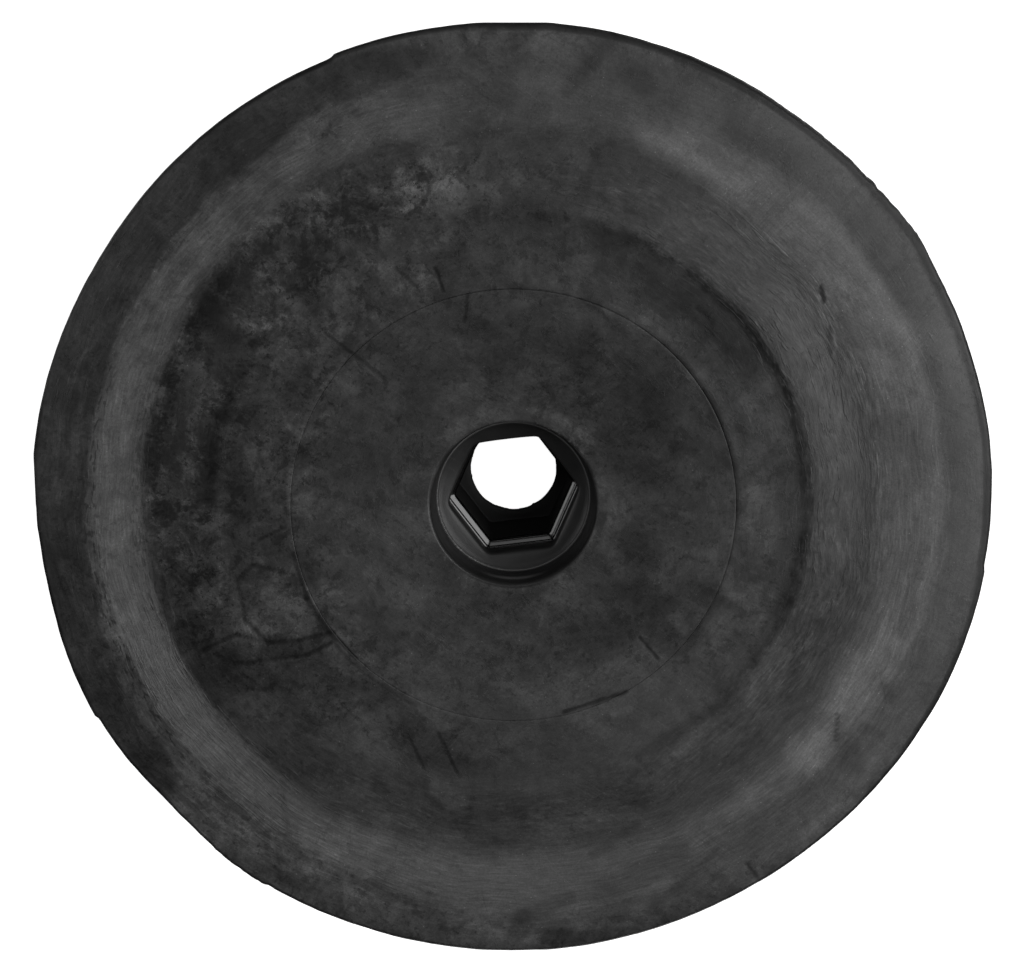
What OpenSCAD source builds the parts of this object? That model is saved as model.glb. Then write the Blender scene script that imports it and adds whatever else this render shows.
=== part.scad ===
// Sink plunger head: a flexible rubber disc with a hexagonal drive pocket in
// its face and a handle socket in its neck. The sealing face points up and
// the neck stands on the ground plane, centred on the origin.

/* [Disc] */
// Outside diameter of the rubber disc
disc_d = 150; // [146:1:160]
// Height of the plain face above the end of the neck
face_h = 48; // [46:0.5:56]
// Height of the sealing ridge above the plain face
ridge_h = 0.6; // [0.2:0.1:1.5]
// Depth of the shallow trough inside the ridge, below the plain face
trough_h = 2; // [1:0.1:2.4]
// Diameter at the crest of the sealing ridge
ridge_d = 133; // [132:0.5:136]
// Diameter at the bottom of that trough
trough_d = 115; // [112:0.5:118]
// Drop from the plain face to the rolled outer edge
edge_drop = 0.6; // [0.4:0.1:1.6]
// Thickness of the outer edge
edge_t = 4; // [3:0.1:5]
// Diameter of the low moulded step in the flexing web
step_d = 92.2; // [88:0.1:96]
// Height of that step
step_h = 0.4; // [0.2:0.05:0.8]
// Thickness of the web where it meets the hub
web_root_t = 8.5; // [8:0.1:10]
// Thickness of the web where it meets the sealing rim
web_tip_t = 5.6; // [5:0.1:6]

/* [Hub] */
// Diameter of the centre pad
pad_d = 69.8; // [68:0.1:72]
// Depth of the pad's gentle dish round the mouth
dish_h = 1.3; // [0.2:0.1:1.5]
// Diameter of the counterbore at its mouth
mouth_d = 26; // [25.5:0.1:27]
// Width of the rounded edge round the mouth
mouth_round_w = 0.6; // [0.3:0.1:2]
// Depth below the plain face at which that rounding ends
mouth_round_h = 2.2; // [1.8:0.1:4]
// Diameter of the counterbore at its floor
counterbore_d = 24.4; // [23:0.1:25]
// Depth of the counterbore
counterbore_h = 8.2; // [7:0.1:8.5]

/* [Hexagonal pocket] */
// Turn of the hexagon's first corner from the X axis, in degrees
hex_turn = 7; // [0:1:60]
// Across flats of the soft rubber mouth of the hexagon
hex_mouth_af = 18.3; // [18:0.1:19]
// Across flats at the retaining lip of the hard insert
hex_lip_af = 16.5; // [16:0.1:17]
// Across flats of the pocket behind the lip
hex_af = 17.5; // [17.2:0.1:18]
// Depth of the top of the insert below the face
insert_top = 13.6; // [13:0.1:14.5]
// Depth of the pocket floor below the face
pocket_h = 27.3; // [26:0.1:28]
// Thickness of the floor round the through-hole
floor_t = 1.1; // [1:0.1:2]
// Diameter of the through-hole
hole_d = 14.3; // [12:0.1:15]

/* [Handle socket] */
// Bore of the handle socket
socket_d = 25; // [24:0.1:25.5]
// Wall thickness of the socket liner
sleeve_t = 1.7; // [1.5:0.1:2]
// Outside diameter of the neck
neck_d = 40; // [38:0.5:44]
// Width of the steel band round the neck
ferrule_w = 8; // [6:0.5:9]
// Thickness of that band
ferrule_t = 1; // [0.8:0.1:1.5]

/* [Stiffening plate] */
// Outside diameter of the plate
plate_d = 66; // [60:0.5:66.5]
// Thickness of the plate
plate_t = 1.6; // [1.2:0.1:2]
// Number of holes that key the rubber through the plate
key_count = 8; // [4:1:12]
// Diameter of each of those holes
key_d = 6; // [4:0.5:7]

/* [Hidden] */
$fn = 96;
tiny = 0.01;

disc_r = disc_d / 2;
ridge_r = ridge_d / 2;
step_r = step_d / 2;
trough_r = trough_d / 2;
pad_r = pad_d / 2;
neck_r = neck_d / 2;
mouth_r = mouth_d / 2;
dish_in_r = mouth_r + mouth_round_w;
dish_out_r = pad_r - 4;

// The web and the rim are bonded rubber; this gap lets the model's rim move.
split_gap = 0.3;
split_r = ridge_r - 3;
floor_dip = 0.4;
edge_round = 1;

// Depths of the hub's inner layers, below the face.
plate_top = 5;
plate_bottom = plate_top + plate_t;
boss_r = 16.5;
flange_t = 2;
insert_r = 14;
insert_bottom = pocket_h + floor_t;
key_ring_r = (boss_r + plate_d / 2) / 2;
bevel_h = 0.8;
lip_h = 1.6;
hex_bevel_af = hex_lip_af + 0.9;
counterbore_fall = 1.9;

sleeve_r = socket_d / 2 + sleeve_t;
sleeve_flange_r = sleeve_r + 2;
sleeve_flange_t = 1.2;

ferrule_z = 2;
bead_count = 3;
bead_r = 1.6;
bead_pitch = 5;
bead_z = ferrule_z + ferrule_w + 4;
shoulder_z = bead_z + (bead_count - 1) * bead_pitch + bead_r;
flare_z = shoulder_z + 2.4;
neck_chamfer = 1;
gusset_count = 8;
gusset_t = 4;
gusset_foot = 1.5;
key_rib_count = 8;
key_rib_w = 2;
key_rib_z = 3;

function af_to_r(af) = af / 2 / cos(30);
function mix(a, b, t) = a + (b - a) * t;
function ease(t) = (1 - cos(180 * t)) / 2;
function arc(x, y, rx, ry, from, to, steps) = [
    for (i = [0 : steps]) let (a = mix(from, to, i / steps)) [x + rx * cos(a), y + ry * sin(a)]
];

// Height of the sealing face above the plain face, at radius r.
function dish_rise(r) = r > dish_out_r ? 0 : -dish_h * (1 - ease((r - dish_in_r) / (dish_out_r - dish_in_r)));
function floor_rise(r) = mix(0, -floor_dip, (r - pad_r) / (step_r - pad_r));
function trough_rise(r) = mix(step_h - floor_dip, -trough_h, ease((r - step_r) / (trough_r - step_r)));
function ridge_rise(r) = mix(-trough_h, ridge_h, ease((r - trough_r) / (ridge_r - trough_r)));
function roll_rise(r) = mix(ridge_h, -edge_drop, pow((r - ridge_r) / (disc_r - ridge_r), 2));
function face_rise(r) =
    r < pad_r ? dish_rise(r) :
    r < step_r ? floor_rise(r) :
    r < trough_r ? trough_rise(r) :
    r < ridge_r ? ridge_rise(r) : roll_rise(r);
function face_curve(from, to, steps) = [
    for (i = [0 : steps]) let (r = mix(from, to, i / steps)) [r, face_rise(r)]
];
function back_fall(r) = mix(web_root_t, web_tip_t, ease((r - pad_r) / (split_r - pad_r)));
function back_curve(from, to, steps) = [
    for (i = [0 : steps]) let (r = mix(from, to, i / steps)) [r, -back_fall(r)]
];

// Moves its children so that z = 0 is the plain face.
module from_face() {
    translate([0, 0, face_h]) children();
}

module ring(r_out, r_in, h) {
    difference() {
        cylinder(r = r_out, h = h);
        translate([0, 0, -tiny]) cylinder(r = r_in, h = h + 2 * tiny);
    }
}

module hex_prism(af, h) {
    rotate([0, 0, hex_turn]) cylinder(r = af_to_r(af), h = h, $fn = 6);
}

module key_pegs(d, h) {
    for (i = [0 : key_count - 1])
        rotate([0, 0, i * 360 / key_count])
            translate([key_ring_r, 0, 0]) cylinder(d = d, h = h);
}

// Everything that is cut out of the pad: the rounded mouth, the counterbore
// with its sloping floor, and the soft mouth of the hexagon.
module socket_void() {
    mouth_edge = arc(dish_in_r, -mouth_round_h, mouth_round_w, mouth_round_h - dish_h, 90, 180, 8);
    rotate_extrude()
        polygon(concat(
            [[0, tiny], [dish_in_r, tiny]],
            mouth_edge,
            [[counterbore_d / 2, -counterbore_h],
             [af_to_r(hex_mouth_af) - 1, -counterbore_h - counterbore_fall],
             [0, -counterbore_h - counterbore_fall]]));
    translate([0, 0, -insert_top - tiny])
        hex_prism(hex_mouth_af, insert_top - counterbore_h);
}

module face_pad() {
    color("#38383a") from_face() difference() {
        union() {
            rotate_extrude()
                polygon(concat(
                    [[0, -insert_top], [boss_r, -insert_top], [boss_r, -plate_top],
                     [pad_r, -plate_top], [pad_r, 0]],
                    face_curve(dish_out_r, dish_in_r, 8),
                    [[0, -dish_h]]));
            translate([0, 0, -plate_bottom]) ring(pad_r, plate_d / 2, plate_t + tiny);
            translate([0, 0, -plate_bottom]) key_pegs(key_d, plate_t + tiny);
        }
        socket_void();
    }
}

module flex_web() {
    color("#303032") from_face() rotate_extrude()
        polygon(concat(
            face_curve(pad_r, step_r - tiny, 3),
            face_curve(step_r, trough_r, 6),
            face_curve(trough_r + tiny, split_r, 8),
            back_curve(split_r, pad_r, 8)));
}

module sealing_rim() {
    inner_r = split_r + split_gap;
    top_z = face_rise(disc_r);
    bottom_z = top_z - edge_t;
    color("#3c3c3e") from_face() rotate_extrude()
        polygon(concat(
            face_curve(inner_r, ridge_r, 4),
            face_curve(ridge_r + tiny, disc_r - edge_round / 2, 8),
            [[disc_r, top_z - edge_round / 2]],
            arc(disc_r - edge_round, bottom_z + edge_round, edge_round, edge_round, 0, -90, 4),
            [[ridge_r + 3, -web_tip_t], [inner_r, -web_tip_t]]));
}

module stiffener_plate() {
    color("silver") from_face() difference() {
        translate([0, 0, -plate_bottom]) ring(plate_d / 2, boss_r, plate_t);
        translate([0, 0, -plate_bottom - 1]) key_pegs(key_d, plate_t + 2);
    }
}

// Ribs round the insert that stop it turning in the rubber.
module key_ribs(r_out, w, h) {
    for (i = [0 : key_rib_count - 1])
        rotate([0, 0, i * 360 / key_rib_count])
            translate([0, -w / 2, 0]) cube([r_out, w, h]);
}

module insert_body() {
    translate([0, 0, -insert_bottom]) cylinder(r = insert_r, h = insert_bottom - insert_top);
    translate([0, 0, -insert_top - flange_t]) cylinder(r = boss_r, h = flange_t);
    translate([0, 0, -insert_bottom + key_rib_z])
        key_ribs(boss_r - 0.5, key_rib_w, insert_bottom - insert_top - key_rib_z - 1);
}

module hex_insert() {
    pocket_top = -insert_top - lip_h;
    color("#1c1c1e") from_face() difference() {
        insert_body();
        translate([0, 0, -pocket_h]) hex_prism(hex_af, pocket_h + pocket_top);
        translate([0, 0, pocket_top - tiny]) hex_prism(hex_lip_af, lip_h + 1);
        rotate([0, 0, hex_turn])
            translate([0, 0, -insert_top - bevel_h])
                cylinder(r1 = af_to_r(hex_lip_af), r2 = af_to_r(hex_bevel_af),
                         h = bevel_h + tiny, $fn = 6);
        translate([0, 0, -insert_bottom - 1]) cylinder(d = hole_d, h = floor_t + 2);
    }
}

// The flared rubber behind the plate, from the neck out to the pad's edge.
module shoulder_outline() {
    flare_h = face_h - web_root_t - flare_z;
    flare = [for (i = [0 : 10]) let (t = i / 10)
        [mix(neck_r, pad_r, 1 - sqrt(1 - t * t)), flare_z + t * flare_h]];
    polygon(concat(
        [[0, shoulder_z], [neck_r, shoulder_z]],
        flare,
        [[pad_r, face_h - plate_bottom], [0, face_h - plate_bottom]]));
}

module gussets() {
    for (i = [0 : gusset_count - 1])
        rotate([90, 0, (i + 0.5) * 360 / gusset_count])
            translate([0, 0, -gusset_t / 2])
                linear_extrude(gusset_t)
                    polygon([[neck_r - 1, shoulder_z], [neck_r + gusset_foot, shoulder_z],
                             [pad_r - gusset_foot, face_h - web_root_t - gusset_foot],
                             [pad_r - gusset_foot, face_h - plate_bottom],
                             [neck_r - 1, face_h - plate_bottom]]);
}

module hub_shoulder() {
    color("#2e2e30") difference() {
        union() {
            rotate_extrude() shoulder_outline();
            gussets();
        }
        from_face() insert_body();
        from_face() translate([0, 0, -insert_top]) cylinder(r = boss_r, h = insert_top);
    }
}

module neck_boot() {
    color("#2c2c2e") difference() {
        union() {
            cylinder(r1 = neck_r - neck_chamfer, r2 = neck_r, h = neck_chamfer);
            translate([0, 0, neck_chamfer]) cylinder(r = neck_r, h = shoulder_z - neck_chamfer);
            for (i = [0 : bead_count - 1])
                translate([0, 0, bead_z + i * bead_pitch])
                    rotate_extrude() translate([neck_r, 0]) circle(r = bead_r, $fn = 32);
        }
        from_face() insert_body();
        translate([0, 0, -tiny]) cylinder(r = sleeve_r, h = face_h - insert_bottom + 2 * tiny);
        translate([0, 0, -tiny]) cylinder(r = sleeve_flange_r, h = sleeve_flange_t + tiny);
        translate([0, 0, ferrule_z]) ring(neck_r + 2, neck_r - ferrule_t / 2, ferrule_w);
    }
}

module handle_sleeve() {
    lead_in = 0.6;
    color("#4a4d52") difference() {
        union() {
            cylinder(r = sleeve_r, h = face_h - insert_bottom);
            cylinder(r = sleeve_flange_r, h = sleeve_flange_t);
        }
        translate([0, 0, -tiny]) cylinder(d = socket_d, h = face_h - insert_bottom + 2 * tiny);
        translate([0, 0, -tiny])
            cylinder(r1 = socket_d / 2 + lead_in, r2 = socket_d / 2, h = lead_in);
    }
}

module neck_ferrule() {
    edge_bead_r = 0.7;
    band_in = neck_r - ferrule_t / 2;
    color("gainsboro") translate([0, 0, ferrule_z]) difference() {
        union() {
            cylinder(r = band_in + ferrule_t, h = ferrule_w);
            for (z = [edge_bead_r, ferrule_w - edge_bead_r])
                translate([0, 0, z])
                    rotate_extrude()
                        translate([band_in + ferrule_t, 0]) circle(r = edge_bead_r, $fn = 32);
        }
        translate([0, 0, -tiny]) cylinder(r = band_in, h = ferrule_w + 2 * tiny);
    }
}

face_pad();
flex_web();
sealing_rim();
stiffener_plate();
hex_insert();
hub_shoulder();
neck_boot();
handle_sleeve();
neck_ferrule();
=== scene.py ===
import math

import bpy
import numpy as np
from mathutils import Matrix, Vector


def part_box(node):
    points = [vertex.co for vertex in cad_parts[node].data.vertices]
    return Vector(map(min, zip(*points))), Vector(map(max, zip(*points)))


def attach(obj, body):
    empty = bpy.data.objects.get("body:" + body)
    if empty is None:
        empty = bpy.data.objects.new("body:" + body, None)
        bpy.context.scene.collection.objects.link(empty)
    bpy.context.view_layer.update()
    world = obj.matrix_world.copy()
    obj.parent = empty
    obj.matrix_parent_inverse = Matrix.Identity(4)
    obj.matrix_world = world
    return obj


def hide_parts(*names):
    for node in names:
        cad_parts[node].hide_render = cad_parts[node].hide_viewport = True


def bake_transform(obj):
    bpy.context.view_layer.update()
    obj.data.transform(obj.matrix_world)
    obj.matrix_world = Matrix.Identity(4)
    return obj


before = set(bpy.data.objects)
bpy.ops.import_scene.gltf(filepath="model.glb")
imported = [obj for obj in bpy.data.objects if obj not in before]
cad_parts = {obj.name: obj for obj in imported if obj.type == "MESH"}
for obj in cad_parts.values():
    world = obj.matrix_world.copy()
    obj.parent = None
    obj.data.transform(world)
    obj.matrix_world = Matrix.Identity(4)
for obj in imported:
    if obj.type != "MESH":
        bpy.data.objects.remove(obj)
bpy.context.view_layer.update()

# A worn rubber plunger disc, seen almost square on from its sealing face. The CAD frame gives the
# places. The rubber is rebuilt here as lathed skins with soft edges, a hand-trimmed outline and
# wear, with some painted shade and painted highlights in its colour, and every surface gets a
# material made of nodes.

MM = 0.001

# ---------------------------------------------------------------- places, in millimetres

FACE_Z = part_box("neck_boot")[0].z / MM + 48.0
DISC_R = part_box("sealing_rim")[1].x / MM
PAD_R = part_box("face_pad")[1].x / MM
BOSS_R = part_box("hex_insert")[1].x / MM
NECK_R = 20.0
SHOULDER_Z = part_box("hub_shoulder")[0].z / MM
INSERT_TOP_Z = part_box("hex_insert")[1].z / MM
INSERT_BOTTOM_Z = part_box("hex_insert")[0].z / MM
BAND_LOW, BAND_HIGH = (corner.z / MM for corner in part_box("neck_ferrule"))
SLEEVE_R = 14.2
SLEEVE_FLANGE_R, SLEEVE_FLANGE_T = 16.2, 1.2

# The face's relief, as heights above the plain face.
STEP_R, STEP_H, FLOOR_DIP = 46.1, 0.4, 0.4
TROUGH_R, TROUGH_DIP = 57.5, 2.0
RIDGE_R, RIDGE_H = 66.5, 0.6
EDGE_DROP, EDGE_T = 0.6, 4.0
SPLIT_R = RIDGE_R - 3
WEB_ROOT_T, WEB_TIP_T = 8.5, 5.6
DISH_IN_R, DISH_OUT_R, DISH_H = 13.6, 30.9, 1.3
MOUTH_R, MOUTH_DEPTH = 13.0, 2.2
MOUTH_SHIFT = 0.6
COUNTERBORE_R, COUNTERBORE_DEPTH = 12.2, 8.2
PLATE_TOP, PLATE_BOTTOM = 5.02, 6.62
HEX_TURN = math.radians(7)
HEX_MOUTH_AF, HEX_LIP_AF, HEX_AF = 18.3, 16.5, 17.5
POCKET_DEPTH, HOLE_R = 27.3, 7.15

# ---------------------------------------------------------------- numbers with a rule


def ease(t):
    """Smooth step from 0 to 1."""
    t = np.clip(t, 0, 1)
    return t * t * (3 - 2 * t)


def mix(a, b, t):
    return a + (b - a) * t


def bump(x, centre, width):
    """A round bump of height 1 at centre that fades out one width away."""
    return ease(1 - np.abs(x - centre) / width)


def lattice(cells, seed):
    """One repeatable random number from -1 to 1 for each whole-numbered point."""
    key = (cells.astype(np.int64) * np.array([374761393, 668265263, 1440662683])).sum(-1)
    key = (key + seed * 1274126177) & 0xFFFFFFFF
    key = ((key ^ (key >> 13)) * 1274126177) & 0xFFFFFFFF
    key = key ^ (key >> 16)
    return (key & 0xFFFF) / 32767.5 - 1


def value_noise(points, seed):
    """Smooth noise from -1 to 1 at points, an array of x, y, z rows."""
    low = np.floor(points)
    t = points - low
    t = t * t * (3 - 2 * t)
    total = 0
    for corner in np.ndindex(2, 2, 2):
        weight = np.prod(np.where(corner, t, 1 - t), axis=-1)
        total = total + weight * lattice(low + corner, seed)
    return total


def fractal(points, size, seed, octaves=4):
    """Layered noise from about -1 to 1, whose largest lumps are size across."""
    total, reach = 0, 0
    for octave in range(octaves):
        share = 0.5**octave
        total = total + share * value_noise(np.asarray(points) / size * 2**octave, seed + octave)
        reach += share
    return total / reach * 1.6


def turn(theta, degrees):
    """How far theta lies from an angle in degrees, from -180 to 180."""
    return (np.degrees(theta) - degrees + 180) % 360 - 180


# ---------------------------------------------------------------- lathed meshes


class Lathe:
    """A closed mesh made of rings, from a closed outline in r and z."""

    def __init__(self, segments):
        self.theta = np.arange(segments) * 2 * math.pi / segments
        self.rings = []

    def add(self, r, z):
        """Adds one ring. r and z are numbers, or one number for each segment."""
        ones = np.ones_like(self.theta)
        self.rings.append((r * ones, z * ones))

    def points(self):
        r = np.array([ring[0] for ring in self.rings])
        z = np.array([ring[1] for ring in self.rings])
        return np.stack([r * np.cos(self.theta), r * np.sin(self.theta), z], axis=-1)

    def build(self, name, points=None):
        """The mesh object, in metres. points may be a moved copy of points()."""
        points = self.points() if points is None else points
        count, segments = points.shape[:2]
        index = np.arange(count * segments).reshape(count, segments)
        ahead, beside = np.roll(index, -1, axis=0), np.roll(index, -1, axis=1)
        corner = np.roll(ahead, -1, axis=1)
        faces = np.stack([index, beside, corner, ahead], axis=-1).reshape(-1, 4)
        mesh = bpy.data.meshes.new(name)
        mesh.from_pydata((points.reshape(-1, 3) * MM).tolist(), [], faces.tolist())
        mesh.polygons.foreach_set("use_smooth", [True] * len(mesh.polygons))
        mesh.update()
        obj = bpy.data.objects.new(name, mesh)
        bpy.context.scene.collection.objects.link(obj)
        return obj


def paint(obj, name, values):
    """Stores one number for each vertex, for a material to read."""
    layer = obj.data.attributes.new(name, "FLOAT", "POINT")
    layer.data.foreach_set("value", np.asarray(values, np.float32).ravel())


def steps(start, end, size):
    """Numbers from start to end, about size apart."""
    return np.linspace(start, end, max(2, round(abs(end - start) / size) + 1))


def arc(r, z, radius_r, radius_z, start, end, count):
    """Points of an elliptical arc round (r, z), between two angles in degrees."""
    angles = np.radians(np.linspace(start, end, count))
    return list(zip(r + radius_r * np.cos(angles), z + radius_z * np.sin(angles)))


def hexagon(theta, across_flats, sharpness):
    """Radius of a round-cornered hexagon. The corners tighten as sharpness grows."""
    total = 0
    for side in range(3):
        facing = HEX_TURN + math.radians(30 + 60 * side)
        total = total + np.abs(np.cos(theta - facing)) ** sharpness
    return across_flats / 2 / total ** (1 / sharpness)


# ---------------------------------------------------------------- the face's relief and wear


def step_softness(theta):
    """Half-width of the step: torn and crisp on the +X side, rubbed away on the other."""
    return mix(0.8, 1.8, ease((np.abs(turn(theta, 0)) - 50) / 50))


def step_wander(theta):
    """How far the torn step strays from its circle."""
    around = np.stack([np.cos(theta), np.sin(theta), 0 * theta], axis=-1) * STEP_R
    return 0.3 * fractal(around, 5, seed=15) + 0.25 * fractal(around, 1.2, seed=17, octaves=2)


def ramp(t):
    """A straight climb from 0 to 1 with short rounded ends."""
    return 0.8 * np.clip((t - 0.1) / 0.8, 0, 1) + 0.2 * ease(t)


def ramp_share(theta):
    """How straight the ring's inner slope is: pressed flat on the -X side, round elsewhere."""
    return ease((70 - np.abs(turn(theta, 167))) / 12)


def face_rise(r, theta=0.0):
    """Height of the sealing face above the plain face, in millimetres."""
    soft = step_softness(theta)
    torn_r = STEP_R + step_wander(theta)
    dish = -DISH_H * (1 - ease((r - DISH_IN_R) / (DISH_OUT_R - DISH_IN_R)))
    floor = -FLOOR_DIP * (r - PAD_R) / (STEP_R - PAD_R)
    trough = mix(STEP_H - FLOOR_DIP, -TROUGH_DIP, ease((r - STEP_R) / (TROUGH_R - STEP_R)))
    stepped = mix(floor, trough, ease((r - torn_r + soft) / (2 * soft)))
    climb = np.clip((r - TROUGH_R) / (RIDGE_R - TROUGH_R), 0, 1)
    climb = mix(ease(climb), ramp(climb), ramp_share(theta))
    ridge = mix(-TROUGH_DIP, RIDGE_H, climb)
    roll = mix(RIDGE_H, -EDGE_DROP, (np.maximum(r - RIDGE_R, 0) / (DISC_R - RIDGE_R)) ** 2)
    return np.select([r < PAD_R, r < TROUGH_R, r < RIDGE_R], [dish, stepped, ridge], roll)


# How light the rubber is at each radius, in stops of brightness: the contact ring is dusty, and the
# cut edge is clean. The bright band from 12.12 to 12.28 mm, on the bead at the counterbore's floor,
# is a painted highlight, and the rubber inside the mouth is darker.
RING_TONE = (
    (12.05, -0.8), (12.12, 1.8), (12.28, 1.8), (12.33, -0.9), (13.0, -0.8), (13.25, 0.7),
    (13.7, 0.35), (18, 0.2), (23, 0.05), (31, 0.2), (46, 0.1), (48, 0.2), (56, 0.3), (58, 0.45),
    (59.5, 0.65), (61, 0.85), (65, 0.85), (67.5, 0.7), (76, 0.65),
)

# Patches: angle and half-width in degrees, radius and half-width in millimetres, how soft the
# border is as a share of the width, and stops.
TONE_PATCHES = [
    # Painted light: the ring on the +X side, toward the key light, made lighter.
    (12, 64, 62, 5.5, 0.5, 1.15),
    (85, 32, 63, 4.5, 0.6, 0.3),
    (275, 38, 63, 5, 0.6, 0.35),
    (172, 48, 57, 4.5, 0.6, -0.3),
    (335, 42, 44, 9, 0.6, 0.35),
    (270, 60, 33, 5, 0.6, 0.15),
    (10, 42, 51, 5.5, 0.6, -0.4),
    (34, 42, 43.4, 2.8, 0.35, -0.45),
    (345, 40, 71, 3.5, 0.6, 0.2),
    (162, 50, 52.5, 6, 0.35, -0.7),
    # Painted shade: the outer roll on the -X side, which turns away from the key light, made
    # darker.
    (160, 62, 71.8, 5, 0.15, -1.05),
    (185, 70, 41, 7, 0.6, -0.2),
    (215, 32, 61, 5, 0.6, -0.4),
    (285, 50, 70, 3.5, 0.6, 0.35),
    (167, 66, 62.5, 4.2, 0.06, 0.2),
    (190, 62, 35.3, 0.35, 0.5, 0.5),
    (22, 26, 35.2, 0.5, 0.5, -0.8),
    (226, 26, 35.5, 0.6, 0.5, -0.7),
    (118, 14, 15.5, 1.3, 0.9, 0.55),
    (58, 26, 15.9, 0.8, 0.9, 0.5),
    (350, 18, 15.6, 0.7, 0.9, 0.5),
    (270, 70, 38, 9, 0.6, 0.25),
    (272, 60, 52, 5, 0.6, 0.25),
]

# Where circular scuffs, blotches, and pits in rows are strong: the same first five numbers, then
# an amount.
SCUFF_PATCHES = [
    (20, 60, 51.5, 6.5, 0.6, 0.9),
    (300, 90, 58, 12, 0.8, 0.4),
    (180, 70, 66, 10, 0.6, 0.5),
]
BLOTCH_PATCHES = [
    (150, 52, 52.5, 6.5, 0.7, 1.9),
    (180, 80, 40, 9, 0.6, 0.6),
    (5, 100, 64, 10, 0.6, -0.7),
    (270, 50, 40, 8, 0.6, -0.5),
    (10, 60, 51, 6, 0.6, -0.4),
    (270, 50, 55, 12, 0.6, -0.4),
    (167, 66, 62.5, 4.2, 0.2, -0.3),
]
PIT_PATCHES = [
    (190, 32, 59.3, 1.2, 0.8, 1.0),
    (190, 32, 66.0, 1.4, 0.8, 1.0),
    (38, 26, 46.3, 0.8, 0.8, -0.7),
    (62, 28, 13.5, 0.5, 0.8, -1.6),
    # Painted highlight: a negative amount gives light flecks, here on the bead at the counterbore's
    # floor on the lower left.
    (215, 50, 12.1, 0.3, 0.8, -0.9),
    (350, 22, 46.2, 0.5, 0.8, -0.5),
]

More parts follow.
